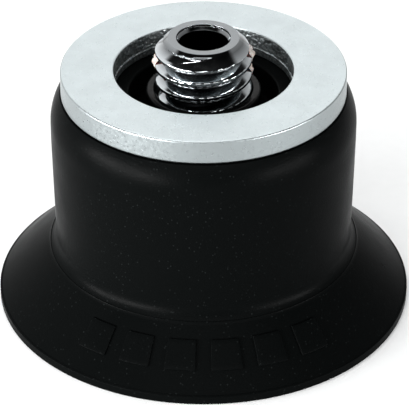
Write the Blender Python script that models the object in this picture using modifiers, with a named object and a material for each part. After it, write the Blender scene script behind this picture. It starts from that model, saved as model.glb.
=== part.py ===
"""Vacuum suction cup: a deep rubber bell with a flared sealing lip, moulded round a steel anchor plate.

A hollow M6 stud is riveted to the plate and rises through the recess of a punched steel support ring.
The origin is the centre of the sealing plane, and +Z points up the stud.
"""

from math import asin, atan2, cos, degrees, hypot, pi, radians, sin, sqrt

import bmesh
import bpy
from mathutils import Matrix, Vector

MM = 0.001
FIT_GAP = 0.05 * MM  # left between pieces that touch
ROUND_STEPS = 48  # facets round a turned piece
STUD_STEPS = 32
MERGE = 0.000001

# Rubber bell and lip
LIP_RADIUS = 13.0 * MM
EDGE_HEIGHT = 0.6 * MM  # upright band at the foot of the lip
SEAL_LAND = 0.4 * MM  # flat width of the sealing face
FLARE_TOP = 4.0 * MM
WALL_TOP = 8.0 * MM  # the bell flexes below here
ROOF_HEIGHT = 8.8 * MM
POCKET_FLOOR = 12.4 * MM
CROWN_TOP = 14.25 * MM
WALL_RADIUS_FOOT = 9.5 * MM  # where the fillet runs out into the flare
WALL_RADIUS_LOW = 9.31 * MM
WALL_RADIUS_MID = 9.36 * MM
WALL_RADIUS_HIGH = 9.43 * MM
CAVITY_RADIUS = 7.3 * MM
POCKET_RADIUS = 4.55 * MM

# Heights of the axes about which the bell flexes
FORE_AFT_AXIS = WALL_TOP
SIDEWAYS_AXIS = 5.2 * MM

# Support ring
RING_RADIUS = 8.75 * MM
RING_HOLE_RADIUS = 5.45 * MM
RING_TOP = 15.8 * MM
RING_BOTTOM = CROWN_TOP + FIT_GAP

# Stud, M6 x 1, and the plate it is riveted to
STUD_TOP = 17.95 * MM
CREST_RADIUS = 2.95 * MM
PITCH = 1.0 * MM
THREAD_DEPTH = 0.61 * MM
THREAD_BOTTOM = 12.65 * MM
CREST_DATUM = 16.53 * MM  # height of a crest at angle 0
END_LAND_RADIUS = 2.18 * MM
BORE_RADIUS = 1.5 * MM
FLANGE_RADIUS = 3.6 * MM
FLANGE_TOP = 12.0 * MM
PLATE_TOP = 11.2 * MM
PLATE_BOTTOM = 10.0 * MM
PLATE_RADIUS = 7.0 * MM
SPIGOT_RADIUS = 2.5 * MM
RIVET_RADIUS = 3.2 * MM
RIVET_BOTTOM = 9.4 * MM
KEY_HOLES = 6
KEY_CIRCLE = 5.3 * MM
KEY_RADIUS = 0.75 * MM

# Inner ribs that stop soft work being drawn in
RIBS = 6
RIB_DEPTH = 0.55 * MM
RIB_WIDTH = 0.7 * MM
RIB_INNER = 3.9 * MM
RIB_OUTER = 6.5 * MM

# Seal collar and locking patch on the stud
SEAL_TOP = 14.5 * MM
SEAL_BULGE = 3.58 * MM
PATCH_BOTTOM = 15.5 * MM
PATCH_TOP = 16.9 * MM
PATCH_THICKNESS = 0.28 * MM


def collection(name):
    made = bpy.data.collections.new(name)
    bpy.context.scene.collection.children.link(made)
    return made


def material(name, colour, roughness, metallic=0.0):
    made = bpy.data.materials.new(name)
    made.use_nodes = True
    shader = made.node_tree.nodes["Principled BSDF"]
    shader.inputs["Base Color"].default_value = (*colour, 1.0)
    shader.inputs["Roughness"].default_value = roughness
    shader.inputs["Metallic"].default_value = metallic
    return made


def arc(centre, radius, start, end, points=5):
    """Points on an arc in the turning plane, angles in degrees from +X."""
    turns = [radians(start + (end - start) * i / (points - 1)) for i in range(points)]
    return [(centre[0] + radius * cos(a), centre[1] + radius * sin(a)) for a in turns]


def turned(name, outline, finish, group, steps=ROUND_STEPS):
    """Turns a closed outline of (radius, height) points; it runs down the outside and up the inside."""
    mesh = bpy.data.meshes.new(name)
    points = [(radius, 0.0, height) for radius, height in outline]
    count = len(points)
    mesh.from_pydata(points, [(i, (i + 1) % count) for i in range(count)], [])
    body = bpy.data.objects.new(name, mesh)
    group.objects.link(body)
    screw = body.modifiers.new("Turn", "SCREW")
    screw.axis = "Z"
    screw.angle = 2 * pi
    screw.steps = screw.render_steps = steps
    screw.use_merge_vertices = True
    screw.merge_threshold = MERGE
    mesh.materials.append(finish)
    return body


def axis_empty(name, height, group):
    """An empty on the object's centre line, where a moving piece hangs from its joint."""
    empty = bpy.data.objects.new(name, None)
    empty.location = (0, 0, height)
    empty.empty_display_size = 2 * MM
    group.objects.link(empty)
    return empty


def hang(child, parent):
    """Parents child to parent and leaves it where it is."""
    bpy.context.view_layer.update()
    child.parent = parent
    child.matrix_parent_inverse = parent.matrix_world.inverted()


def bake(body):
    """Replaces the object's mesh by its evaluated mesh, so that its points can be moved."""
    graph = bpy.context.evaluated_depsgraph_get()
    mesh = bpy.data.meshes.new_from_object(body.evaluated_get(graph))
    body.modifiers.clear()
    body.data = mesh
    return mesh


def boolean(body, other, operation):
    cut = body.modifiers.new(operation.title(), "BOOLEAN")
    cut.operation = operation
    cut.object = other
    other.hide_render = True
    other.display_type = "WIRE"


def ring_of_tools(name, count, make, group):
    """One mesh of equal, separate solids spaced round the axis; make(mesh) adds one at angle 0."""
    shape = bmesh.new()
    for i in range(count):
        before = set(shape.verts)
        make(shape)
        fresh = [v for v in shape.verts if v not in before]
        turn = Matrix.Rotation(2 * pi * i / count, 4, "Z")
        bmesh.ops.transform(shape, matrix=turn, verts=fresh)
    mesh = bpy.data.meshes.new(name)
    shape.to_mesh(mesh)
    shape.free()
    tool = bpy.data.objects.new(name, mesh)
    group.objects.link(tool)
    return tool


def pegs(name, radius, low, high, group):
    """Upright pegs on the key-hole circle."""

    def one(shape):
        place = Matrix.Translation((KEY_CIRCLE, 0, (low + high) / 2))
        bmesh.ops.create_cone(
            shape, cap_ends=True, segments=12, radius1=radius, radius2=radius, depth=high - low, matrix=place
        )

    return ring_of_tools(name, KEY_HOLES, one, group)


def rib_bars(group):
    """Radial bars that stand down from the roof of the bell."""
    length = RIB_OUTER - RIB_INNER
    height = RIB_DEPTH * 2

    def one(shape):
        place = Matrix.Translation((RIB_INNER + length / 2, 0, ROOF_HEIGHT - RIB_DEPTH + height / 2))
        size = Matrix.Diagonal((length, RIB_WIDTH, height, 1.0))
        bmesh.ops.create_cube(shape, size=1.0, matrix=place @ size)

    return ring_of_tools("rib_bars", RIBS, one, group)


def thread_radius(angle, height):
    """Radius of the right-hand thread's surface: crest flat P/8, flanks at 60 degrees, flat root."""
    phase = ((height - CREST_DATUM) / PITCH - angle / (2 * pi)) % 1.0
    off_crest = min(phase, 1.0 - phase) * PITCH - PITCH / 16
    depth = min(max(off_crest * sqrt(3), 0.0), THREAD_DEPTH)
    return CREST_RADIUS - depth


def support_ring(finish, group):
    edge = 0.12 * MM
    outline = [
        (RING_RADIUS - edge, RING_TOP),
        (RING_RADIUS, RING_TOP - edge),
        (RING_RADIUS, RING_BOTTOM + edge),
        (RING_RADIUS - edge, RING_BOTTOM),
        (RING_HOLE_RADIUS, RING_BOTTOM),
        (RING_HOLE_RADIUS, RING_TOP - edge),
        (RING_HOLE_RADIUS + edge, RING_TOP),
    ]
    return turned("support_ring", outline, finish, group)


def threaded_stud(finish, group):
    rows_per_pitch = 7
    rows = int((STUD_TOP - THREAD_BOTTOM) / PITCH * rows_per_pitch)
    countersink = 0.18 * MM
    neck = CREST_RADIUS - THREAD_DEPTH - 0.05 * MM
    neck_bottom = FLANGE_TOP + 0.1 * MM
    threaded = [(CREST_RADIUS, STUD_TOP - i * PITCH / rows_per_pitch) for i in range(1, rows)]
    outline = [
        (END_LAND_RADIUS, STUD_TOP),
        *threaded,
        (neck, THREAD_BOTTOM - 0.1 * MM),
        (neck, neck_bottom),
        (FLANGE_RADIUS, FLANGE_TOP),
        (FLANGE_RADIUS, PLATE_TOP + FIT_GAP),
        (SPIGOT_RADIUS, PLATE_TOP + FIT_GAP),
        (SPIGOT_RADIUS, PLATE_BOTTOM - FIT_GAP),
        (RIVET_RADIUS, PLATE_BOTTOM - FIT_GAP),
        (RIVET_RADIUS - 0.3 * MM, RIVET_BOTTOM),
        (BORE_RADIUS + countersink, RIVET_BOTTOM),
        (BORE_RADIUS, RIVET_BOTTOM + countersink),
        (BORE_RADIUS, STUD_TOP - countersink),
        (BORE_RADIUS + countersink, STUD_TOP),
    ]
    stud = turned("threaded_stud", outline, finish, group, STUD_STEPS)
    lowest = threaded[-1][1] - PITCH / 100
    for vertex in bake(stud).vertices:
        x, y, z = vertex.co
        reach = hypot(x, y)
        if z > lowest and reach > END_LAND_RADIUS + FIT_GAP:
            cone = END_LAND_RADIUS + STUD_TOP - z
            radius = min(thread_radius(atan2(y, x), z), cone)
            vertex.co = Vector((x * radius / reach, y * radius / reach, z))
    return stud


def anchor_plate(finish, group, tools):
    outline = [
        (PLATE_RADIUS, PLATE_TOP),
        (PLATE_RADIUS, PLATE_BOTTOM),
        (SPIGOT_RADIUS + FIT_GAP, PLATE_BOTTOM),
        (SPIGOT_RADIUS + FIT_GAP, PLATE_TOP),
    ]
    plate = turned("anchor_plate", outline, finish, group)
    margin = 0.5 * MM
    boolean(plate, pegs("key_hole_cutters", KEY_RADIUS, PLATE_BOTTOM - margin, PLATE_TOP + margin, tools), "DIFFERENCE")
    return plate


def cup_crown(finish, group, tools):
    """Roof of the bell: recess floor, slot that holds the plate, shoulder under the ring, upper wall."""
    shoulder = 3.5 * MM
    shoulder_foot = 12.3 * MM
    shoulder_centre = (WALL_RADIUS_HIGH - shoulder, shoulder_foot)
    shoulder_turn = degrees(asin((CROWN_TOP - shoulder_foot) / shoulder))
    corner = 1.0 * MM
    slot_radius = PLATE_RADIUS + FIT_GAP
    stud_hole = CREST_RADIUS + FIT_GAP
    flange_room = FLANGE_RADIUS + FIT_GAP
    rivet_room = RIVET_RADIUS + 2 * FIT_GAP
    slot_top = PLATE_TOP + FIT_GAP
    slot_bottom = PLATE_BOTTOM - FIT_GAP
    outline = [
        *arc(shoulder_centre, shoulder, shoulder_turn, 0.0, 5),
        (WALL_RADIUS_MID, WALL_TOP + FIT_GAP),
        (CAVITY_RADIUS, WALL_TOP + FIT_GAP),
        (CAVITY_RADIUS, ROOF_HEIGHT - corner / 2),
        (CAVITY_RADIUS - corner / 2, ROOF_HEIGHT),
        (rivet_room, ROOF_HEIGHT),
        (rivet_room, slot_bottom),
        (slot_radius, slot_bottom),
        (slot_radius, slot_top),
        (flange_room, slot_top),
        (flange_room, FLANGE_TOP + FIT_GAP),
        (stud_hole, FLANGE_TOP + FIT_GAP),
        (stud_hole, POCKET_FLOOR),
        (POCKET_RADIUS, POCKET_FLOOR),
        (POCKET_RADIUS, CROWN_TOP),
    ]
    crown = turned("cup_crown", outline, finish, group)
    bite = 0.2 * MM
    boolean(crown, pegs("key_pegs", KEY_RADIUS - FIT_GAP, slot_bottom - bite, slot_top + bite, tools), "UNION")
    boolean(crown, rib_bars(tools), "UNION")
    return crown


def bell_wall(finish, group):
    """The wall down to the mould's split line, with the hollow fillet that leads into the flare."""
    foot = FLARE_TOP + FIT_GAP
    outline = [
        (WALL_RADIUS_MID, WALL_TOP),
        (WALL_RADIUS_LOW, 4.75 * MM),
        (WALL_RADIUS_LOW + 0.03 * MM, 4.45 * MM),
        (WALL_RADIUS_LOW + 0.09 * MM, 4.2 * MM),
        (WALL_RADIUS_FOOT - 0.03 * MM, foot),
        (CAVITY_RADIUS + 0.1 * MM, foot),
        (CAVITY_RADIUS, WALL_TOP),
    ]
    return turned("bell_wall", outline, finish, group)


def lip_skirt(finish, group):
    """The flare: thick at the wall and thin at the edge, so that it opens when it is pressed down."""
    outline = [
        (WALL_RADIUS_FOOT, FLARE_TOP),
        (WALL_RADIUS_FOOT + 0.2 * MM, FLARE_TOP - 0.17 * MM),
        (LIP_RADIUS - 0.12 * MM, EDGE_HEIGHT + FIT_GAP),
        (LIP_RADIUS - 0.8 * MM, EDGE_HEIGHT + FIT_GAP),
        (CAVITY_RADIUS + 0.8 * MM, 3.15 * MM),
        (CAVITY_RADIUS + 0.25 * MM, 3.6 * MM),
        (CAVITY_RADIUS + 0.1 * MM, FLARE_TOP),
    ]
    return turned("lip_skirt", outline, finish, group)


def sealing_edge(finish, group):
    outline = [
        (LIP_RADIUS - 0.08 * MM, EDGE_HEIGHT),
        (LIP_RADIUS, EDGE_HEIGHT - 0.1 * MM),
        (LIP_RADIUS, 0.0),
        (LIP_RADIUS - SEAL_LAND, 0.0),
        (LIP_RADIUS - 0.8 * MM, EDGE_HEIGHT),
    ]
    return turned("sealing_edge", outline, finish, group)


def stud_seal(finish, group):
    """Barrel-shaped collar round the root of the thread, which seals against the holder."""
    inner = CREST_RADIUS + FIT_GAP
    foot = POCKET_FLOOR + FIT_GAP
    rounding = 0.15 * MM
    outline = [
        (SEAL_BULGE - rounding, SEAL_TOP),
        (SEAL_BULGE, SEAL_TOP - 1.5 * rounding),
        (SEAL_BULGE - 0.10 * MM, 13.4 * MM),
        (SEAL_BULGE - 0.33 * MM, foot),
        (inner, foot),
        (inner, SEAL_TOP - rounding),
        (inner + rounding, SEAL_TOP),
    ]
    return turned("stud_seal", outline, finish, group)


def thread_lock_patch(finish, group):
    """Locking patch over half a turn of the thread, at its back: a plain half sleeve over the crests."""
    columns = STUD_STEPS // 2
    inner = CREST_RADIUS + FIT_GAP
    outer = inner + PATCH_THICKNESS
    corners = ((inner, PATCH_BOTTOM), (outer, PATCH_BOTTOM), (outer, PATCH_TOP), (inner, PATCH_TOP))
    points, faces = [], []
    for column in range(columns + 1):
        angle = pi * column / columns
        points += [(radius * cos(angle), radius * sin(angle), height) for radius, height in corners]
    for column in range(columns):
        near, far = 4 * column, 4 * column + 4
        for i in range(4):
            j = (i + 1) % 4
            faces.append((near + i, near + j, far + j, far + i))
    faces += [(3, 2, 1, 0), tuple(4 * columns + i for i in range(4))]
    mesh = bpy.data.meshes.new("thread_lock_patch")
    mesh.from_pydata(points, [], faces)
    shape = bmesh.new()
    shape.from_mesh(mesh)
    bmesh.ops.recalc_face_normals(shape, faces=shape.faces)
    shape.to_mesh(mesh)
    shape.free()
    patch = bpy.data.objects.new("thread_lock_patch", mesh)
    group.objects.link(patch)
    mesh.materials.append(finish)
    return patch


def smooth(body):
    body.data.shade_smooth()
    body.data.set_sharp_from_angle(angle=radians(30))


def main():
    for old in list(bpy.data.objects):
        bpy.data.objects.remove(old)
    parts = collection("vacuum_suction_cup")
    tools = collection("cutters")
    rubber = material("nitrile_rubber", (0.012, 0.013, 0.013), 0.55)
    ring_steel = material("plated_steel", (0.70, 0.73, 0.74), 0.42, 1.0)
    stud_steel = material("nickel_plate", (0.55, 0.58, 0.60), 0.18, 1.0)
    patch_nylon = material("locking_nylon", (0.72, 0.62, 0.58), 0.6)
    made = [
        support_ring(ring_steel, parts),
        threaded_stud(stud_steel, parts),
        anchor_plate(ring_steel, parts, tools),
        stud_seal(rubber, parts),
        thread_lock_patch(patch_nylon, parts),
        cup_crown(rubber, parts, tools),
        bell_wall(rubber, parts),
        lip_skirt(rubber, parts),
        sealing_edge(rubber, parts),
    ]
    for body in made:
        smooth(body)
    *_, wall, skirt, edge = made
    tilt_fore_aft = axis_empty("tilt_fore_aft_axis", FORE_AFT_AXIS, parts)
    tilt_sideways = axis_empty("tilt_sideways_axis", SIDEWAYS_AXIS, parts)
    stroke = axis_empty("stroke_axis", 0.0, parts)
    for child, parent in (
        (wall, tilt_fore_aft),
        (tilt_sideways, wall),
        (skirt, tilt_sideways),
        (stroke, skirt),
        (edge, stroke),
    ):
        hang(child, parent)


main()
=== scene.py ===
"""Vacuum suction cup: the looks of its rubber bell, support ring, hollow threaded stud and seal.

The cup stands on its sealing lip. Lengths in the outlines are in millimetres.
"""

from math import atan, atan2, cos, hypot, pi, radians, sin, sqrt, tan

import bmesh
import bpy
from mathutils import Matrix, Vector, noise


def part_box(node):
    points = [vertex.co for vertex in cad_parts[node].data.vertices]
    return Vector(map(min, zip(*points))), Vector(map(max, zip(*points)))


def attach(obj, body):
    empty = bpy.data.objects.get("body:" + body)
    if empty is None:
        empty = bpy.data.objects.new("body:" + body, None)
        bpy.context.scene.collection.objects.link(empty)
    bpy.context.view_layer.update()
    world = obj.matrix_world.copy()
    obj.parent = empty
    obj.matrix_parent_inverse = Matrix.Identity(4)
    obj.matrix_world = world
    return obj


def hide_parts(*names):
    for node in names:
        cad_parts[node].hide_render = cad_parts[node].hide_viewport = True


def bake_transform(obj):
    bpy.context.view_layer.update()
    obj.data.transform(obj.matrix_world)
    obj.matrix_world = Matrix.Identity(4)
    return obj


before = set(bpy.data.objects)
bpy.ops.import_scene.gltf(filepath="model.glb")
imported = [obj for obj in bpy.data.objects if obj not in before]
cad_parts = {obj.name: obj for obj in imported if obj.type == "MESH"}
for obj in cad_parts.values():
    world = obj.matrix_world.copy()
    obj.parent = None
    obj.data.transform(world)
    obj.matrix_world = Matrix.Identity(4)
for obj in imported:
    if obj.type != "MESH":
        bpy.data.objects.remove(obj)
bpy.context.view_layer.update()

bl_info = {
    "name": "Vacuum Suction Cup",
    "version": (1, 0, 0),
    "blender": (4, 5, 0),
    "location": "View3D > Sidebar > Suction Cup",
    "description": "Builds a bell suction cup with its support ring, threaded stud and studio",
    "category": "Object",
}

MM = 0.001
ROUND_STEPS = 192  # facets round a turned piece
ARC_STEPS = 8  # facets along a rounded corner
SHARP = radians(35)  # edges steeper than this stay sharp in the shading
CREST_SHARE = 0.2  # share of the pitch taken by the thread's flat crest
THREAD_EDGE = 0.06  # rounding of the thread's crests and roots, in millimetres
GAP = 0.05  # left round the plate and the flange inside the rubber
FLANGE_TOP = 12.0

# Seams where one rubber piece meets the next, as heights in millimetres
CROWN_FOOT = 6.3  # seam between crown and waist
WAIST_FOOT = 4.0  # seam between waist and lip

# Profile of the rubber's outside
WALL_TOP = 11.2  # the wall leans in from here down to WALL_LOW
WALL_LOW = 5.0
FILLET_TOP = 4.62  # the hollow fillet at the wall's foot starts here
FILLET_RADIUS = 1.3
SPLIT_LINE = 3.74  # fine step left by the mould
FLARE_START = (9.7, 3.7)
FLARE_FALL = 3.2 / 3.25  # drop of the flare for each millimetre outwards


def low(node):
    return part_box(node)[0] / MM


def high(node):
    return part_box(node)[1] / MM


# ---------------------------------------------------------------- settings


def length(name, description, default_mm):
    """A length property whose default is given in millimetres."""
    return bpy.props.FloatProperty(
        name=name,
        description=description,
        default=default_mm * MM,
        unit="LENGTH",
        subtype="DISTANCE",
        precision=5,
    )


def count(name, description, default):
    return bpy.props.IntProperty(name=name, description=description, default=default, min=0)


def brightness(name, description, default):
    return bpy.props.FloatProperty(name=name, description=description, default=default, min=0)


def linear(hex_colour):
    """An sRGB hex colour as linear RGB."""
    parts = [int(hex_colour[i : i + 2], 16) / 255 for i in (1, 3, 5)]
    return tuple(c / 12.92 if c <= 0.04045 else ((c + 0.055) / 1.055) ** 2.4 for c in parts)


def colour(name, description, hex_colour):
    """A colour property whose default is given as an sRGB hex value."""
    return bpy.props.FloatVectorProperty(
        name=name, description=description, default=linear(hex_colour), size=3, min=0, max=1, subtype="COLOR"
    )


class CupSizes(bpy.types.PropertyGroup):
    lip_radius: length("Lip radius", "Outer radius of the sealing lip", high("sealing_edge").x)
    shoulder_radius: length("Shoulder radius", "Widest radius of the wall", high("cup_crown").x)
    waist_radius: length("Waist radius", "Radius of the wall where it meets the flare", 9.31)
    crown_top: length("Crown top", "Height of the face that the ring rests on", low("support_ring").z - 0.04)
    roof_height: length("Roof height", "Height of the inner roof of the bell", 8.8)
    cavity_radius: length("Cavity radius", "Inner radius of the bell", 7.3)
    pocket_radius: length("Pocket radius", "Radius of the recess round the stud", 4.55)
    pocket_floor: length("Pocket floor", "Height of the recess's floor", low("stud_seal").z - 0.05)
    rib_count: count("Ribs", "Ribs under the roof", 6)
    mark_count: count("Marks", "Raised pads on the flare", 6)


class RingSizes(bpy.types.PropertyGroup):
    radius: length("Ring radius", "Outer radius of the ring", high("support_ring").x)
    hole_radius: length("Hole radius", "Radius of the punched hole", 5.45)
    top: length("Ring top", "Height of the seat", high("support_ring").z)
    bottom: length("Ring bottom", "Height of the underside", low("support_ring").z)
    shear_height: length("Sheared height", "Height of the smooth band that the punch leaves", 0.45)


class StudSizes(bpy.types.PropertyGroup):
    top: length("Stud top", "Height of the end face", high("threaded_stud").z)
    foot: length("Stud foot", "Height of the riveted foot", low("threaded_stud").z)
    crest_radius: length("Crest radius", "Radius over the thread's crests", 2.95)
    pitch: length("Pitch", "Rise of the thread in one turn", 1.0)
    depth: length("Thread depth", "Depth from crest to root", 0.61)
    crest_height: length("Crest height", "Height of a crest on the +X side", 16.53)
    thread_bottom: length("Thread bottom", "Height where the thread runs out", 12.65)
    land_radius: length("End land", "Outer radius of the end face", 2.18)
    bore_radius: length("Bore radius", "Radius of the vacuum bore", 1.5)


class CupColours(bpy.types.PropertyGroup):
    rubber: colour("Rubber", "Black nitrile rubber", "#050606")
    ring: colour("Ring", "Zinc-plated steel", "#cdd6d8")
    stud: colour("Stud", "Nickel-plated steel", "#c6cbce")
    patch: colour("Patch", "Nylon locking patch", "#aca39d")
    floor: colour("Floor", "Studio floor", "#fbfcfc")


class StageSettings(bpy.types.PropertyGroup):
    distance: length("Camera distance", "From the aim point to the camera", 165.9)
    elevation: bpy.props.FloatProperty(
        name="Elevation",
        description="Height of the camera over the horizon",
        default=radians(32.45),
        subtype="ANGLE",
    )
    lens: bpy.props.FloatProperty(name="Lens", description="Focal length", default=227.4, unit="CAMERA")
    horizon: brightness("Horizon", "Brightness of the tent's sides", 1.25)
    zenith: brightness("Zenith", "Brightness of the open top", 0.02)
    mouth: brightness("Mouth", "Brightness of the open front, as a share", 0.2)
    right: brightness("Right", "Brightness of the right side, as a share", 0.45)


# ---------------------------------------------------------------- shapes


def rounded(corners):
    """A closed outline through (radius, height, rounding) corners, each turned into an arc."""
    outline = []
    for i, (radius, height, fillet) in enumerate(corners):
        here = Vector((radius, height))
        if not fillet:
            outline.append(here)
            continue
        into = (Vector(corners[i - 1][:2]) - here).normalized()
        out = (Vector(corners[(i + 1) % len(corners)][:2]) - here).normalized()
        half = into.angle(out) / 2
        centre = here + (into + out).normalized() * fillet / sin(half)
        start = here + into * fillet / tan(half) - centre
        end = here + out * fillet / tan(half) - centre
        first = atan2(start.y, start.x)
        sweep = (atan2(end.y, end.x) - first + pi) % (2 * pi) - pi
        for step in range(ARC_STEPS + 1):
            angle = first + sweep * step / ARC_STEPS
            outline.append(centre + fillet * Vector((cos(angle), sin(angle))))
    return outline


def spaced(outline, gap):
    """The outline with points added, so that no stretch is longer than gap."""
    points = []
    for i, here in enumerate(outline):
        after = outline[(i + 1) % len(outline)]
        pieces = max(1, round((after - here).length / gap))
        points += [here.lerp(after, k / pieces) for k in range(pieces)]
    return points


def link(name, mesh, *materials):
    """A new object for the mesh, shaded smooth except at its edges."""
    for material in materials:
        mesh.materials.append(material)
    mesh.shade_smooth()
    mesh.set_sharp_from_angle(angle=SHARP)
    piece = bpy.data.objects.new(name, mesh)
    bpy.context.scene.collection.objects.link(piece)
    return piece


def mesh_of(shape, name):
    """Ends a bmesh: welds it, turns its faces outwards and returns it as a mesh."""
    bmesh.ops.remove_doubles(shape, verts=shape.verts, dist=0.0005 * MM)
    bmesh.ops.recalc_face_normals(shape, faces=shape.faces)
    mesh = bpy.data.meshes.new(name)
    shape.to_mesh(mesh)
    shape.free()
    return mesh


def turned(name, outline, *materials, steps=ROUND_STEPS):
    """Turns a closed outline round the Z axis."""
    shape = bmesh.new()
    ring = [shape.verts.new((point.x * MM, 0, point.y * MM)) for point in outline]
    for i, vertex in enumerate(ring):
        shape.edges.new((ring[i - 1], vertex))
    bmesh.ops.spin(
        shape,
        geom=shape.verts[:] + shape.edges[:],
        cent=(0, 0, 0),
        axis=(0, 0, 1),
        dvec=(0, 0, 0),
        angle=2 * pi,
        steps=steps,
        use_merge=True,
        use_duplicate=False,
    )
    return link(name, mesh_of(shape, name), *materials)


def rounded_block(size, edge, cuts):
    """A block with rounded edges and evenly cut faces, centred on the origin."""
    shape = bmesh.new()
    bmesh.ops.create_cube(shape, size=1.0, matrix=Matrix.Diagonal((*size, 1.0)))
    bmesh.ops.bevel(shape, geom=shape.edges[:], offset=edge, segments=4, profile=0.5, affect="EDGES")
    long_edges = [e for e in shape.edges if e.calc_length() > min(size) / 2]
    bmesh.ops.subdivide_edges(shape, edges=long_edges, cuts=cuts, use_grid_fill=True)
    return shape


# ---------------------------------------------------------------- node trees


def add(tree, kind, inputs=None, **settings):
    """Adds a node. A socket in inputs takes a value, or a link where it is given another node's socket."""
    made = tree.nodes.new(kind)
    for name, value in settings.items():
        setattr(made, name, value)
    for name, value in (inputs or {}).items():
        if isinstance(value, bpy.types.NodeSocket):
            tree.links.new(value, made.inputs[name])
        else:
            made.inputs[name].default_value = value
    return made


def geometry_tree(name, sizes):
    """A geometry node group that takes a mesh, the named sizes and a material."""
    tree = bpy.data.node_groups.new(name, "GeometryNodeTree")
    tree.interface.new_socket("Geometry", in_out="INPUT", socket_type="NodeSocketGeometry")
    for size, kind in sizes.items():
        tree.interface.new_socket(size, in_out="INPUT", socket_type=kind)
    tree.interface.new_socket("Material", in_out="INPUT", socket_type="NodeSocketMaterial")
    tree.interface.new_socket("Geometry", in_out="OUTPUT", socket_type="NodeSocketGeometry")
    return tree, tree.nodes.new("NodeGroupInput").outputs


def end_tree(tree, geometry, material):
    """Realises what was made and gives it its material."""
    real = add(tree, "GeometryNodeRealizeInstances", {"Geometry": geometry})
    painted = add(tree, "GeometryNodeSetMaterial", {"Geometry": real.outputs[0], "Material": material})
    add(tree, "NodeGroupOutput", {"Geometry": painted.outputs[0]})


def repeat_tree():
    """Copies of the mesh set round the Z axis, from a start angle and a step apart."""
    sizes = {"Count": "NodeSocketInt", "Start": "NodeSocketFloat", "Step": "NodeSocketFloat"}
    tree, given = geometry_tree("Repeat round axis", sizes)
    points = add(tree, "GeometryNodePoints", {"Count": given["Count"]})
    index = add(tree, "GeometryNodeInputIndex")
    turned_by = add(
        tree,
        "ShaderNodeMath",
        {0: index.outputs[0], 1: given["Step"], 2: given["Start"]},
        operation="MULTIPLY_ADD",
    )
    turn = add(tree, "ShaderNodeCombineXYZ", {"Z": turned_by.outputs[0]})
    copies = add(
        tree,
        "GeometryNodeInstanceOnPoints",
        {"Points": points.outputs[0], "Instance": given["Geometry"], "Rotation": turn.outputs[0]},
    )
    end_tree(tree, copies.outputs[0], given["Material"])
    return tree


def thread_tree():
    """Cuts a right-hand thread into a turned blank by moving its skin in, with a chamfer at both ends."""
    names = ("Crest radius", "Pitch", "Depth", "Crest height", "Thread bottom", "Top", "Land radius")
    tree, given = geometry_tree("Cut thread", dict.fromkeys(names, "NodeSocketFloat"))

    def math(operation, *values):
        return add(tree, "ShaderNodeMath", dict(enumerate(values)), operation=operation).outputs[0]

    position = add(tree, "GeometryNodeInputPosition").outputs[0]
    axes = add(tree, "ShaderNodeSeparateXYZ", {"Vector": position}).outputs
    level = add(tree, "ShaderNodeCombineXYZ", {"X": axes["X"], "Y": axes["Y"]}).outputs[0]
    reach = add(tree, "ShaderNodeVectorMath", {0: level}, operation="LENGTH").outputs["Value"]

    turns = math("DIVIDE", math("ARCTAN2", axes["Y"], axes["X"]), 2 * pi)
    rise = math("DIVIDE", math("SUBTRACT", axes["Z"], given["Crest height"]), given["Pitch"])
    to_crest = math("PINGPONG", math("SUBTRACT", rise, turns), 0.5)
    off_crest = math("MULTIPLY", math("SUBTRACT", to_crest, CREST_SHARE / 2), given["Pitch"])
    flank = math("MULTIPLY", off_crest, sqrt(3))
    edge = THREAD_EDGE * MM
    depth = math("SMOOTH_MIN", math("SMOOTH_MAX", flank, 0.0, edge), given["Depth"], edge)
    threaded = math("SUBTRACT", given["Crest radius"], depth)
    top_cone = math("ADD", given["Land radius"], math("SUBTRACT", given["Top"], axes["Z"]))
    root = math("SUBTRACT", given["Crest radius"], given["Depth"])
    foot_cone = math("ADD", root, math("SUBTRACT", axes["Z"], given["Thread bottom"]))
    chamfered = math("SMOOTH_MIN", threaded, top_cone, edge / 2)
    radius = math("MINIMUM", chamfered, foot_cone)

    grown = math("DIVIDE", radius, reach)
    scale = add(tree, "ShaderNodeCombineXYZ", {"X": grown, "Y": grown, "Z": 1.0}).outputs[0]
    moved = add(tree, "ShaderNodeVectorMath", {0: position, 1: scale}, operation="MULTIPLY").outputs[0]
    outside = math("GREATER_THAN", reach, math("ADD", given["Land radius"], 0.02 * MM))
    above = math("GREATER_THAN", axes["Z"], given["Thread bottom"])
    skin = math("MULTIPLY", outside, above)
    cut = add(
        tree,
        "GeometryNodeSetPosition",
        {"Geometry": given["Geometry"], "Selection": skin, "Position": moved},
    )
    end_tree(tree, cut.outputs[0], given["Material"])
    return tree


def apply_tree(piece, tree, **values):
    """Runs a geometry tree on the piece with the given inputs, and leaves a plain mesh."""
    modifier = piece.modifiers.new(tree.name, "NODES")
    modifier.node_group = tree
    sockets = {
        item.name: item.identifier for item in tree.interface.items_tree if item.item_type == "SOCKET"
    }
    for name, value in values.items():
        modifier[sockets[name.replace("_", " ")]] = value
    graph = bpy.context.evaluated_depsgraph_get()
    mesh = bpy.data.meshes.new_from_object(piece.evaluated_get(graph))
    piece.modifiers.remove(modifier)
    piece.data = mesh
    mesh.shade_smooth()
    mesh.set_sharp_from_angle(angle=SHARP)
    return piece


# ---------------------------------------------------------------- materials


def surface(name, base, roughness, metallic=0.0):
    """A new material, its node tree, its shader and its Object coordinates."""
    material = bpy.data.materials.new(name)
    material.use_nodes = True
    material.diffuse_color = (*base, 1.0)
    tree = material.node_tree
    shader = tree.nodes["Principled BSDF"]
    shader.inputs["Base Color"].default_value = (*base, 1.0)
    shader.inputs["Roughness"].default_value = roughness
    shader.inputs["Metallic"].default_value = metallic
    place = add(tree, "ShaderNodeTexCoord").outputs["Object"]
    return material, tree, shader, place


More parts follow.
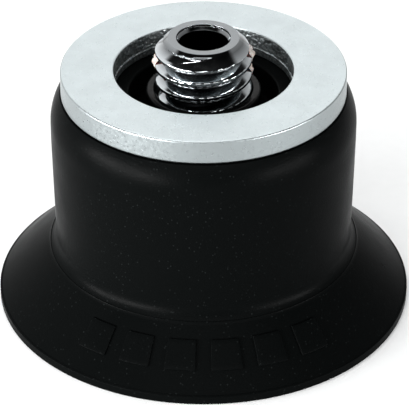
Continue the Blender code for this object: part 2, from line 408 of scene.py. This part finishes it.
def blended(tree, factor, dark, light, start=0.0, end=1.0):
    """A colour that runs from dark to light as factor goes from start to end."""
    ramp = add(tree, "ShaderNodeValToRGB", {"Fac": factor})
    ramp.color_ramp.elements[0].position = start
    ramp.color_ramp.elements[0].color = (*dark, 1.0)
    ramp.color_ramp.elements[1].position = end
    ramp.color_ramp.elements[1].color = (*light, 1.0)
    return ramp.outputs["Color"]


def remapped(tree, value, span=(0.0, 1.0), to=(0.0, 1.0)):
    """The value, carried over from one span to another and held at its ends."""
    sockets = {"Value": value, "From Min": span[0], "From Max": span[1], "To Min": to[0], "To Max": to[1]}
    return add(tree, "ShaderNodeMapRange", sockets).outputs[0]


def mottle(tree, place, grain_mm, detail, roughness=0.5):
    """Cloudy noise with a grain of the given size."""
    sockets = {"Vector": place, "Scale": 1 / (grain_mm * MM), "Detail": detail, "Roughness": roughness}
    return add(tree, "ShaderNodeTexNoise", sockets).outputs["Fac"]


def cells(tree, place, size_mm):
    """Distance from the middle of the nearest of many small cells."""
    sockets = {"Vector": place, "Scale": 1 / (size_mm * MM)}
    return add(tree, "ShaderNodeTexVoronoi", sockets, feature="F1").outputs["Distance"]


def dress(tree, shader, colour=None, roughness=None, height=None, strength=0.0, depth_mm=0.0):
    """Gives the shader its colour, its roughness and a bump of the given strength and depth."""
    if colour:
        tree.links.new(colour, shader.inputs["Base Color"])
    if roughness:
        tree.links.new(roughness, shader.inputs["Roughness"])
    sockets = {"Height": height, "Strength": strength, "Distance": depth_mm * MM}
    if height:
        tree.links.new(add(tree, "ShaderNodeBump", sockets).outputs["Normal"], shader.inputs["Normal"])


def shade(base, amount):
    return tuple(min(1.0, c * amount) for c in base)


def axis_reach(tree, place):
    """The distance of the shaded point from the Z axis, and its X, Y and Z."""
    axes = add(tree, "ShaderNodeSeparateXYZ", {"Vector": place}).outputs
    level = add(tree, "ShaderNodeCombineXYZ", {"X": axes["X"], "Y": axes["Y"]}).outputs[0]
    return add(tree, "ShaderNodeVectorMath", {0: level}, operation="LENGTH").outputs["Value"], axes


def satin_nitrile(base):
    """Black nitrile rubber from a spark-eroded mould: a satin skin with fine grain and a little grey dust."""
    material, tree, shader, place = surface("satin_nitrile", base, 0.5)
    shader.inputs["Specular IOR Level"].default_value = 0.011
    grain = mottle(tree, place, 0.15, 3.0, 0.6)
    bloom = mottle(tree, place, 2.2, 4.0)
    dust = remapped(tree, cells(tree, place, 0.32), (0.16, 0.07))
    specks = add(tree, "ShaderNodeMath", {0: dust, 1: bloom}, operation="MULTIPLY").outputs[0]
    dusty = blended(tree, specks, base, linear("#1f2222"))
    dress(tree, shader, dusty, remapped(tree, bloom, (0.3, 0.7), (0.27, 0.37)), grain, 0.5, 0.02)
    return material


def glossy_nitrile(base):
    """Nitrile rubber from a polished mould: wet-looking black with soft ripples in its highlights."""
    material, tree, shader, place = surface("glossy_nitrile", base, 0.16)
    shader.inputs["Specular IOR Level"].default_value = 0.1
    ripple = mottle(tree, place, 0.8, 2.0)
    rippled = blended(tree, ripple, base, linear("#0b0c0c"), 0.3, 0.8)
    dress(tree, shader, rippled, remapped(tree, ripple, to=(0.10, 0.24)), ripple, 0.4, 0.05)
    return material


def zinc_plate(base, radius):
    """Bright zinc on barrel-tumbled steel: a cool, cloudy sheen with tiny dents; the outer cut edge is
    painted darker, partly for the duller sheared steel and partly as painted shade on the side face.
    """
    material, tree, shader, place = surface("zinc_plated_steel", base, 0.32, 1.0)
    clouds = mottle(tree, place, 1.6, 5.0, 0.65)
    dents = mottle(tree, place, 0.16, 3.0)
    plated = blended(tree, clouds, shade(base, 0.92), base, 0.35, 0.65)
    reach = axis_reach(tree, place)[0]
    # Outer side face darkened to half the plating colour: partly the duller sheared steel, partly painted
    # shade on the ring's side.
    cut_edge_shade = remapped(tree, reach, (radius - 0.08 * MM, radius - 0.03 * MM))
    sockets = {"Factor": cut_edge_shade, 6: plated, 7: (*shade(base, 0.5), 1.0)}
    shaded_cut_edge = add(tree, "ShaderNodeMix", sockets, data_type="RGBA").outputs[2]
    dress(tree, shader, shaded_cut_edge, remapped(tree, dents, (0.3, 0.7), (0.26, 0.40)), dents, 0.08, 0.01)
    return material


def punched_edge(base):
    """Steel torn by a punch and thinly plated: a dark, crystalline break above a smooth sheared band."""
    material, tree, shader, place = surface("punched_steel_edge", shade(base, 0.4), 0.5, 1.0)
    grains = cells(tree, place, 0.22)
    torn = blended(tree, grains, base, shade(base, 0.3), 0.1, 0.7)
    dress(tree, shader, torn, remapped(tree, grains, to=(0.3, 0.65)), grains, 0.8, 0.06)
    return material


def nickel_plate(base, root_radius, crest_radius):
    """Nickel over turned steel: near-mirror crests with faint tool rings; painted shade darkens the thread
    roots, the bore and the end face.
    """
    material, tree, shader, place = surface("nickel_plated_steel", base, 0.18, 1.0)
    reach, axes = axis_reach(tree, place)
    # Painted shade: the colour darkens from the crests down into the thread roots and the bore, standing in
    # for the shade in the grooves.
    root_shade_fade = remapped(tree, reach, (root_radius, root_radius + 0.95 * (crest_radius - root_radius)))
    top = high("threaded_stud").z * MM
    # Painted shade on the end face: its colour is held darker than the crests.
    end_face_shade = remapped(tree, axes["Z"], (top - 0.3 * MM, top), (0.0, 0.3))
    unshaded_share = add(tree, "ShaderNodeMath", {0: root_shade_fade, 1: end_face_shade}, operation="MAXIMUM").outputs[0]
    painted_shade = blended(tree, unshaded_share, shade(base, 0.25), base)
    smears = mottle(tree, place, 0.5, 4.0)
    rings = add(
        tree,
        "ShaderNodeTexWave",
        {"Vector": place, "Scale": 0.314 / (0.1 * MM), "Distortion": 1.5, "Detail": 2.0, "Detail Scale": 2.0},
        wave_type="BANDS",
        bands_direction="Z",
    ).outputs["Fac"]
    dress(tree, shader, painted_shade, remapped(tree, smears, (0.3, 0.7), (0.05, 0.13)), rings, 0.02, 0.006)
    return material


def fused_nylon(base):
    """Nylon powder fused onto the thread: chalky, lumpy and a little translucent at its thin edges."""
    material, tree, shader, place = surface("fused_nylon", base, 0.6)
    shader.inputs["Subsurface Weight"].default_value = 0.15
    shader.inputs["Subsurface Scale"].default_value = 0.2 * MM
    lumps = mottle(tree, place, 0.22, 4.0)
    chalky = blended(tree, lumps, shade(base, 0.5), shade(base, 1.2), 0.3, 0.7)
    dress(tree, shader, chalky, remapped(tree, lumps, to=(0.45, 0.75)), lumps, 0.7, 0.05)
    return material


def bonding_steel():
    """Blasted and primed steel that the rubber is bonded to: dull grey with a brown cast of primer."""
    material, tree, shader, place = surface("primed_steel", linear("#6f6a64"), 0.55, 1.0)
    blasted = mottle(tree, place, 0.25, 4.0)
    primed = blended(tree, blasted, linear("#4b433c"), linear("#8a8681"), 0.3, 0.7)
    dress(tree, shader, primed, None, blasted, 0.5, 0.02)
    return material


def studio_paper(base):
    """Matt white background paper with a barely visible tooth."""
    material, tree, shader, place = surface("background_paper", base, 0.9)
    shader.inputs["Specular IOR Level"].default_value = 0.1
    tooth = mottle(tree, place, 0.8, 3.0)
    dress(tree, shader, blended(tree, tooth, shade(base, 0.985), base, 0.3, 0.7))
    return material


def finish(name, make, *values):
    """The material of that name, made the first time it is asked for."""
    return bpy.data.materials.get(name) or make(*values)


# ---------------------------------------------------------------- pieces


def rubber(scene):
    return finish("satin_nitrile", satin_nitrile, tuple(scene.cup_colours.rubber))


def wall_line(cup, height):
    """Radius of the bell's straight wall, in mm, at a height below the shoulder."""
    waist, shoulder = cup.waist_radius / MM, cup.shoulder_radius / MM
    share = min(max((height - WALL_LOW) / (WALL_TOP - WALL_LOW), 0.0), 1.0)
    return waist + (shoulder - waist) * share


def bend(piece):
    """Bakes the piece's placement into its mesh."""
    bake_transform(piece)


def rubber_crown(scene):
    """Crown of the bell: recess, seat for the ring, soft shoulder, roof and upper wall."""
    cup = scene.cup_sizes
    top, floor, roof = cup.crown_top / MM, cup.pocket_floor / MM, cup.roof_height / MM
    pocket, cavity = cup.pocket_radius / MM, cup.cavity_radius / MM
    shoulder, arc_radius, arc_height = cup.shoulder_radius / MM, 3.5, 12.3
    arc_top = sqrt(arc_radius**2 - (top - arc_height) ** 2)
    arc = [
        Vector((shoulder - arc_radius + arc_radius * cos(a), arc_height + arc_radius * sin(a)))
        for a in (atan2(top - arc_height, arc_top) * (1 - k / 16) for k in range(17))
    ]
    stud_hole, flange_room, rivet_room, slot = 3.0, 3.65, 3.3, 7.05
    plate_low, plate_high = low("anchor_plate").z - GAP, high("anchor_plate").z + GAP
    below = rounded(
        [
            (shoulder, WALL_TOP, 0),
            (wall_line(cup, CROWN_FOOT), CROWN_FOOT, 0),
            (cavity + 0.04, CROWN_FOOT, 0),
            (cavity, roof, 0.9),
            (rivet_room, roof, 0.25),
            (rivet_room, plate_low, 0),
            (slot, plate_low, 0),
            (slot, plate_high, 0),
            (flange_room, plate_high, 0),
            (flange_room, FLANGE_TOP + GAP, 0),
            (stud_hole, FLANGE_TOP + GAP, 0),
            (stud_hole, floor, 0),
            (pocket, floor, 0.3),
            (pocket, top, 0.16),
            (arc[0].x, top, 0),
        ]
    )
    outline = spaced(arc + below[:-1], 0.25)
    piece = turned("rubber_crown", outline, rubber(scene))
    bend(piece)
    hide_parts("cup_crown")


def foot_fillet(cup, top, bottom):
    """Points of the hollow fillet where the wall sweeps out into the flare, from a height down to another."""
    centre = wall_line(cup, FILLET_TOP) + FILLET_RADIUS
    heights = (top + (bottom - top) * step / ARC_STEPS for step in range(ARC_STEPS + 1))
    return [Vector((centre - sqrt(FILLET_RADIUS**2 - (FILLET_TOP - z) ** 2), z)) for z in heights]


def rubber_waist(scene):
    """Lower wall of the bell, which sweeps out into the flare at its foot."""
    cup = scene.cup_sizes
    cavity = cup.cavity_radius / MM
    outline = [
        Vector((wall_line(cup, CROWN_FOOT), CROWN_FOOT)),
        *foot_fillet(cup, FILLET_TOP, WAIST_FOOT),
        Vector((cavity + 0.24, WAIST_FOOT)),
        Vector((cavity + 0.04, CROWN_FOOT)),
    ]
    piece = turned("rubber_waist", spaced(outline, 0.2), rubber(scene))
    bend(piece)
    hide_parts("bell_wall")


def flare_height(radius):
    """Height of the flare's upper face, in mm, at a radius."""
    return FLARE_START[1] - (radius - FLARE_START[0]) * FLARE_FALL


def rubber_lip(scene):
    """Flared lip: a fine step marks the mould's split line at its top, and its rim is an upright band."""
    cup = scene.cup_sizes
    lip, cavity = cup.lip_radius / MM, cup.cavity_radius / MM
    band, step = high("sealing_edge").z, FLARE_START[0]
    outline = foot_fillet(cup, WAIST_FOOT, SPLIT_LINE) + rounded(
        [
            (step, SPLIT_LINE, 0.01),
            (step + 0.03, flare_height(step + 0.03), 0),
            (lip - 0.14, flare_height(lip - 0.14), 0.05),
            (lip - 0.10, band - 0.02, 0.05),
            (lip, band - 0.08, 0.05),
            (lip, 0.0, 0.06),
            (lip - 0.42, 0.0, 0.1),
            (lip - 0.85, band, 0.3),
            (cavity + 0.85, 3.15, 0.8),
            (cavity + 0.24, WAIST_FOOT, 0),
        ]
    )
    piece = turned("rubber_lip", spaced(outline, 0.15), rubber(scene))
    bend(piece)
    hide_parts("lip_skirt", "sealing_edge")


def lip_marks(scene):
    """A row of plain raised pads moulded on the front of the flare."""
    cup = scene.cup_sizes
    middle, slope = 11.15, atan(FLARE_FALL)
    shape = rounded_block((1.9 * MM, 1.8 * MM, 0.24 * MM), 0.05 * MM, 6)
    for vertex in shape.verts:
        along, across, out = vertex.co / MM
        radius = middle + along * cos(slope) + out * sin(slope)
        height = flare_height(middle) - along * sin(slope) + out * cos(slope)
        angle = across / middle
        vertex.co = Vector((radius * cos(angle), radius * sin(angle), height)) * MM
    piece = link("lip_marks", mesh_of(shape, "lip_mark"), rubber(scene))
    step = radians(14)
    start = -pi / 2 - step * (cup.mark_count - 1) / 2
    apply_tree(piece, repeat_tree(), Count=cup.mark_count, Start=start, Step=step, Material=rubber(scene))
    bend(piece)


def roof_ribs(scene):
    """Ribs under the roof of the bell, which keep soft work out of the bore."""
    cup = scene.cup_sizes
    long, wide, depth, middle = 2.6 * MM, 0.7 * MM, 0.55 * MM, 5.2 * MM
    shape = rounded_block((long, wide, 2 * depth), 0.15 * MM, 4)
    bmesh.ops.translate(shape, verts=shape.verts, vec=(middle, 0, cup.roof_height))
    piece = link("roof_ribs", mesh_of(shape, "roof_rib"), rubber(scene))
    step = 2 * pi / max(cup.rib_count, 1)
    apply_tree(piece, repeat_tree(), Count=cup.rib_count, Start=0.0, Step=step, Material=rubber(scene))
    bend(piece)


def support_ring(scene):
    """Punched ring: rounded where the punch entered, torn in its hole."""
    ring = scene.ring_sizes
    radius, hole = ring.radius / MM, ring.hole_radius / MM
    top, bottom = ring.top / MM, ring.bottom / MM
    sheared = bottom + ring.shear_height / MM
    break_out, mouth = hole + 0.07, hole + 0.13
    outline = rounded(
        [
            (radius, top, 0.10),
            (radius, bottom, 0.14),
            (hole, bottom, 0.05),
            (hole, sheared, 0),
            (hole + 0.05, sheared + 0.05, 0),
            (break_out, top - 0.04, 0),
            (mouth, top, 0.03),
        ]
    )
    plate = finish("zinc_plated_steel", zinc_plate, tuple(scene.cup_colours.ring), ring.radius)
    torn = finish("punched_steel_edge", punched_edge, tuple(scene.cup_colours.ring))
    piece = turned("ring", spaced(outline, 0.07), plate, torn, steps=256)
    for vertex in piece.data.vertices:
        x, y, z = vertex.co / MM
        reach = hypot(x, y)
        if reach < break_out + 0.02 and sheared + 0.03 < z < top - 0.05:
            tear = 0.045 * noise.fractal(Vector((x, y, z)) * 4.0, 0.8, 2.0, 4)
            vertex.co.xy *= (reach + tear) / reach
    for face in piece.data.polygons:
        x, y, z = face.center / MM
        if hypot(x, y) < mouth + 0.01 and bottom + 0.06 < z < top - 0.03:
            face.material_index = 1
    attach(piece, "head")
    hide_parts("support_ring")


def threaded_stud(scene):
    """Hollow stud: threaded shank, flange above the plate and a foot riveted over below it."""
    stud = scene.stud_sizes
    top, foot, bore = stud.top / MM, stud.foot / MM, stud.bore_radius / MM
    crest, root = stud.crest_radius / MM, (stud.crest_radius - stud.depth) / MM
    runout, neck, flange, spigot, rivet = stud.thread_bottom / MM, root - 0.05, 3.6, 2.5, 3.2
    plate_low, plate_high = low("anchor_plate").z - GAP, high("anchor_plate").z + GAP
    skin = spaced([Vector((crest, top - 0.02)), Vector((crest, runout))], 0.03)
    shank = skin[: len(skin) // 2 + 1]
    rest = rounded(
        [
            (neck, runout - 0.03, 0),
            (neck, FLANGE_TOP + 0.1, 0.08),
            (flange - 0.05, FLANGE_TOP, 0.05),
            (flange, plate_high, 0),
            (spigot, plate_high, 0),
            (spigot, plate_low, 0),
            (rivet, plate_low, 0),
            (rivet - 0.15, foot, 0.25),
            (bore + 0.18, foot, 0.03),
            (bore, foot + 0.18, 0.03),
            (bore, top - 0.32, 0.03),
            (bore + 0.16, top - 0.14, 0.02),
            (bore + 0.16, top, 0.03),
            (stud.land_radius / MM, top, 0),
        ]
    )
    nickel = finish(
        "nickel_plated_steel", nickel_plate, tuple(scene.cup_colours.stud), root * MM, stud.crest_radius
    )
    piece = turned("stud", shank + rest, nickel)
    apply_tree(
        piece,
        thread_tree(),
        Crest_radius=stud.crest_radius,
        Pitch=stud.pitch,
        Depth=stud.depth,
        Crest_height=stud.crest_height,
        Thread_bottom=stud.thread_bottom,
        Top=stud.top,
        Land_radius=stud.land_radius,
        Material=nickel,
    )
    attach(piece, "head")
    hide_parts("threaded_stud")


def seal_sleeve():
    """Glossy barrel-shaped collar round the root of the stud."""
    inner, foot, top = 3.0, low("stud_seal").z, high("stud_seal").z
    widest = high("stud_seal").x
    outline = rounded(
        [
            (widest + 0.01, top, 0.22),
            (widest - 0.10, 13.4, 0.4),
            (widest - 0.33, foot, 0.1),
            (inner, foot, 0),
            (inner, top, 0.12),
        ]
    )
    gloss = finish("glossy_nitrile", glossy_nitrile, linear("#040404"))
    piece = turned("seal_sleeve", spaced(outline, 0.1), gloss, steps=128)
    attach(piece, "head")
    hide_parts("stud_seal")


def thread_reach(stud, angle, height):
    """Radius of the thread, in mm, at an angle and a height in mm."""
    rise = (height - stud.crest_height / MM) / (stud.pitch / MM) - angle / (2 * pi)
    off_crest = abs(rise - round(rise)) - CREST_SHARE / 2
    return stud.crest_radius / MM - min(max(off_crest * sqrt(3), 0.0), stud.depth / MM)


def locking_patch(scene):
    """Lumpy nylon patch that sits in and over the back half of the thread."""
    stud = scene.stud_sizes
    bottom, top = low("thread_lock_patch").z, high("thread_lock_patch").z
    columns, rows, start, sweep = 120, 40, radians(-3), radians(186)
    thickest, fill = 0.42 * MM, 0.6  # fill: how far the nylon levels the thread, from 0 to 1
    crests = stud.crest_radius / MM - 0.05
    shape = bmesh.new()
    bmesh.ops.create_grid(shape, x_segments=columns, y_segments=rows, size=0.5)
    thickness = shape.verts.layers.deform.verify()
    for vertex in shape.verts:
        u, v = vertex.co.x + 0.5, vertex.co.y + 0.5
        angle, height = start + sweep * u, bottom + (top - bottom) * v
        radius = (1 - fill) * thread_reach(stud, angle, height) + fill * crests + 0.03
        place = Vector((radius * cos(angle), radius * sin(angle), height))
        lump = 0.55 + 0.9 * noise.fractal(place * 1.7, 0.7, 2.0, 4)
        edge = min(1.0, 9 * min(u, 1 - u), 3.5 * min(v, 1 - v))
        vertex[thickness][0] = min(max(lump * edge, 0.06), 1.0)
        vertex.co = place * MM
    bmesh.ops.recalc_face_normals(shape, faces=shape.faces)
    mesh = bpy.data.meshes.new("locking_patch")
    shape.to_mesh(mesh)
    shape.free()
    nylon = finish("fused_nylon", fused_nylon, tuple(scene.cup_colours.patch))
    piece = link("locking_patch", mesh, nylon)
    piece.vertex_groups.new(name="Thickness")
    if mesh.polygons[0].normal.dot(mesh.polygons[0].center) < 0:
        mesh.flip_normals()
    skin = piece.modifiers.new("Skin", "SOLIDIFY")
    skin.thickness = thickest
    skin.offset = 1.0
    skin.vertex_group = "Thickness"
    graph = bpy.context.evaluated_depsgraph_get()
    solid = bpy.data.meshes.new_from_object(piece.evaluated_get(graph))
    piece.modifiers.clear()
    piece.data = solid
    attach(piece, "head")
    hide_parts("thread_lock_patch")


def anchor_plate():
    """The plate inside the roof keeps its shape and gets its bonding finish."""
    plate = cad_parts["anchor_plate"]
    plate.data.materials.clear()
    plate.data.materials.append(finish("primed_steel", bonding_steel))


# ---------------------------------------------------------------- studio


def softbox(name, direction, distance, size, power, aim=(0, 0, 0.012)):
    """A rectangular soft light that looks at the cup from a direction."""
    data = bpy.data.lights.new(name, "AREA")
    data.shape = "RECTANGLE"
    data.size, data.size_y = size
    data.energy = power
    light = bpy.data.objects.new(name, data)
    way = Vector(direction).normalized()
    light.location = Vector(aim) + way * distance
    light.rotation_euler = way.to_track_quat("Z", "Y").to_euler()
    bpy.context.scene.collection.objects.link(light)
    return light


def light_tent(stage):
    """A tent with a pale back and left side, a greyer right side, and a dark top and front."""
    world = bpy.data.worlds.new("light_tent")
    bpy.context.scene.world = world
    world.use_nodes = True
    tree = world.node_tree
    way = add(tree, "ShaderNodeTexCoord").outputs["Generated"]
    axes = add(tree, "ShaderNodeSeparateXYZ", {"Vector": way}).outputs
    pale, dark = (stage.horizon,) * 3, (stage.zenith,) * 3
    sides = blended(tree, axes["Z"], pale, dark, sin(radians(35)), sin(radians(41)))
    mouth = remapped(tree, axes["Y"], (-0.75, -0.25), (stage.mouth, 1.0))
    right = remapped(tree, axes["X"], (0.3, 0.6), (1.0, stage.right))
    share = add(tree, "ShaderNodeMath", {0: mouth, 1: right}, operation="MULTIPLY").outputs[0]
    hung = add(tree, "ShaderNodeVectorMath", {0: sides, "Scale": share}, operation="SCALE").outputs[0]
    tree.links.new(hung, tree.nodes["Background"].inputs["Color"])


def studio(scene):
    stage = scene.stage_settings
    shape = bmesh.new()
    bmesh.ops.create_grid(shape, x_segments=8, y_segments=8, size=0.8)
    paper = finish("background_paper", studio_paper, tuple(scene.cup_colours.floor))
    link("floor", mesh_of(shape, "floor"), paper)
    light_tent(stage)
    softbox("left_strip", (-0.84, -0.54, 0.06), 0.30, (0.33, 0.047), 2.8)
    softbox("right_strip", (0.86, -0.50, 0.06), 0.32, (0.24, 0.045), 1.0)
    softbox("front_softbox", (0.0, -0.75, 0.66), 0.40, (0.60, 0.14), 0.9)
    softbox("back_softbox", (0.0, 0.50, 0.87), 0.40, (0.30, 0.20), 0.5)
    softbox("overhead_strip", (-0.21, 0.0, 0.98), 0.30, (0.012, 0.20), 0.2)
    lens = bpy.data.cameras.new("camera")
    lens.lens = stage.lens
    lens.sensor_width = 36
    lens.clip_start, lens.clip_end = 0.01, 10
    camera = bpy.data.objects.new("camera", lens)
    scene.collection.objects.link(camera)
    back = Vector((0, -cos(stage.elevation), sin(stage.elevation)))
    camera.location = Vector((0.00006, 0.00276, 0.00435)) + back * stage.distance
    camera.rotation_euler = (pi / 2 - stage.elevation, 0, 0)
    scene.camera = camera
    scene.view_settings.view_transform = "Standard"


# ---------------------------------------------------------------- operators


class SUCTIONCUP_OT_rubber_bell(bpy.types.Operator):
    """Builds the rubber bell: crown, waist and lip"""

    bl_idname = "suction_cup.rubber_bell"
    bl_label = "Rubber bell"

    def execute(self, context):
        rubber_crown(context.scene)
        rubber_waist(context.scene)
        rubber_lip(context.scene)
        return {"FINISHED"}


class SUCTIONCUP_OT_moulded_details(bpy.types.Operator):
    """Adds the pads on the flare and the ribs under the roof"""

    bl_idname = "suction_cup.moulded_details"
    bl_label = "Moulded details"

    def execute(self, context):
        lip_marks(context.scene)
        roof_ribs(context.scene)
        return {"FINISHED"}


class SUCTIONCUP_OT_support_ring(bpy.types.Operator):
    """Builds the punched support ring"""

    bl_idname = "suction_cup.support_ring"
    bl_label = "Support ring"

    def execute(self, context):
        support_ring(context.scene)
        return {"FINISHED"}


class SUCTIONCUP_OT_threaded_stud(bpy.types.Operator):
    """Builds the hollow stud and cuts its thread"""

    bl_idname = "suction_cup.threaded_stud"
    bl_label = "Threaded stud"

    def execute(self, context):
        threaded_stud(context.scene)
        return {"FINISHED"}


class SUCTIONCUP_OT_seal_and_patch(bpy.types.Operator):
    """Builds the seal sleeve and the locking patch on the stud"""

    bl_idname = "suction_cup.seal_and_patch"
    bl_label = "Seal sleeve and locking patch"

    def execute(self, context):
        seal_sleeve()
        locking_patch(context.scene)
        return {"FINISHED"}


class SUCTIONCUP_OT_anchor_plate(bpy.types.Operator):
    """Finishes the anchor plate inside the rubber"""

    bl_idname = "suction_cup.anchor_plate"
    bl_label = "Anchor plate"

    def execute(self, context):
        anchor_plate()
        return {"FINISHED"}


class SUCTIONCUP_OT_stage(bpy.types.Operator):
    """Sets up the floor, the light tent, the soft lights and the camera"""

    bl_idname = "suction_cup.stage"
    bl_label = "Studio"

    def execute(self, context):
        studio(context.scene)
        return {"FINISHED"}


OPERATORS = (
    SUCTIONCUP_OT_rubber_bell,
    SUCTIONCUP_OT_moulded_details,
    SUCTIONCUP_OT_support_ring,
    SUCTIONCUP_OT_threaded_stud,
    SUCTIONCUP_OT_seal_and_patch,
    SUCTIONCUP_OT_anchor_plate,
    SUCTIONCUP_OT_stage,
)


class SUCTIONCUP_PT_panel(bpy.types.Panel):
    """Lists the pieces of the suction cup"""

    bl_label = "Suction Cup"
    bl_idname = "SUCTIONCUP_PT_panel"
    bl_space_type = "VIEW_3D"
    bl_region_type = "UI"
    bl_category = "Suction Cup"

    def draw(self, context):
        for operator in OPERATORS:
            self.layout.operator(operator.bl_idname)


SETTINGS = {
    "cup_sizes": CupSizes,
    "ring_sizes": RingSizes,
    "stud_sizes": StudSizes,
    "cup_colours": CupColours,
    "stage_settings": StageSettings,
}


def register():
    for name, group in SETTINGS.items():
        bpy.utils.register_class(group)
        setattr(bpy.types.Scene, name, bpy.props.PointerProperty(type=group))
    for part in (*OPERATORS, SUCTIONCUP_PT_panel):
        bpy.utils.register_class(part)


def unregister():
    for part in (SUCTIONCUP_PT_panel, *reversed(OPERATORS)):
        bpy.utils.unregister_class(part)
    for name, group in reversed(SETTINGS.items()):
        delattr(bpy.types.Scene, name)
        bpy.utils.unregister_class(group)


def main():
    register()
    for operator in OPERATORS:
        group, action = operator.bl_idname.split(".")
        getattr(getattr(bpy.ops, group), action)()


if __name__ == "__main__":
    main()
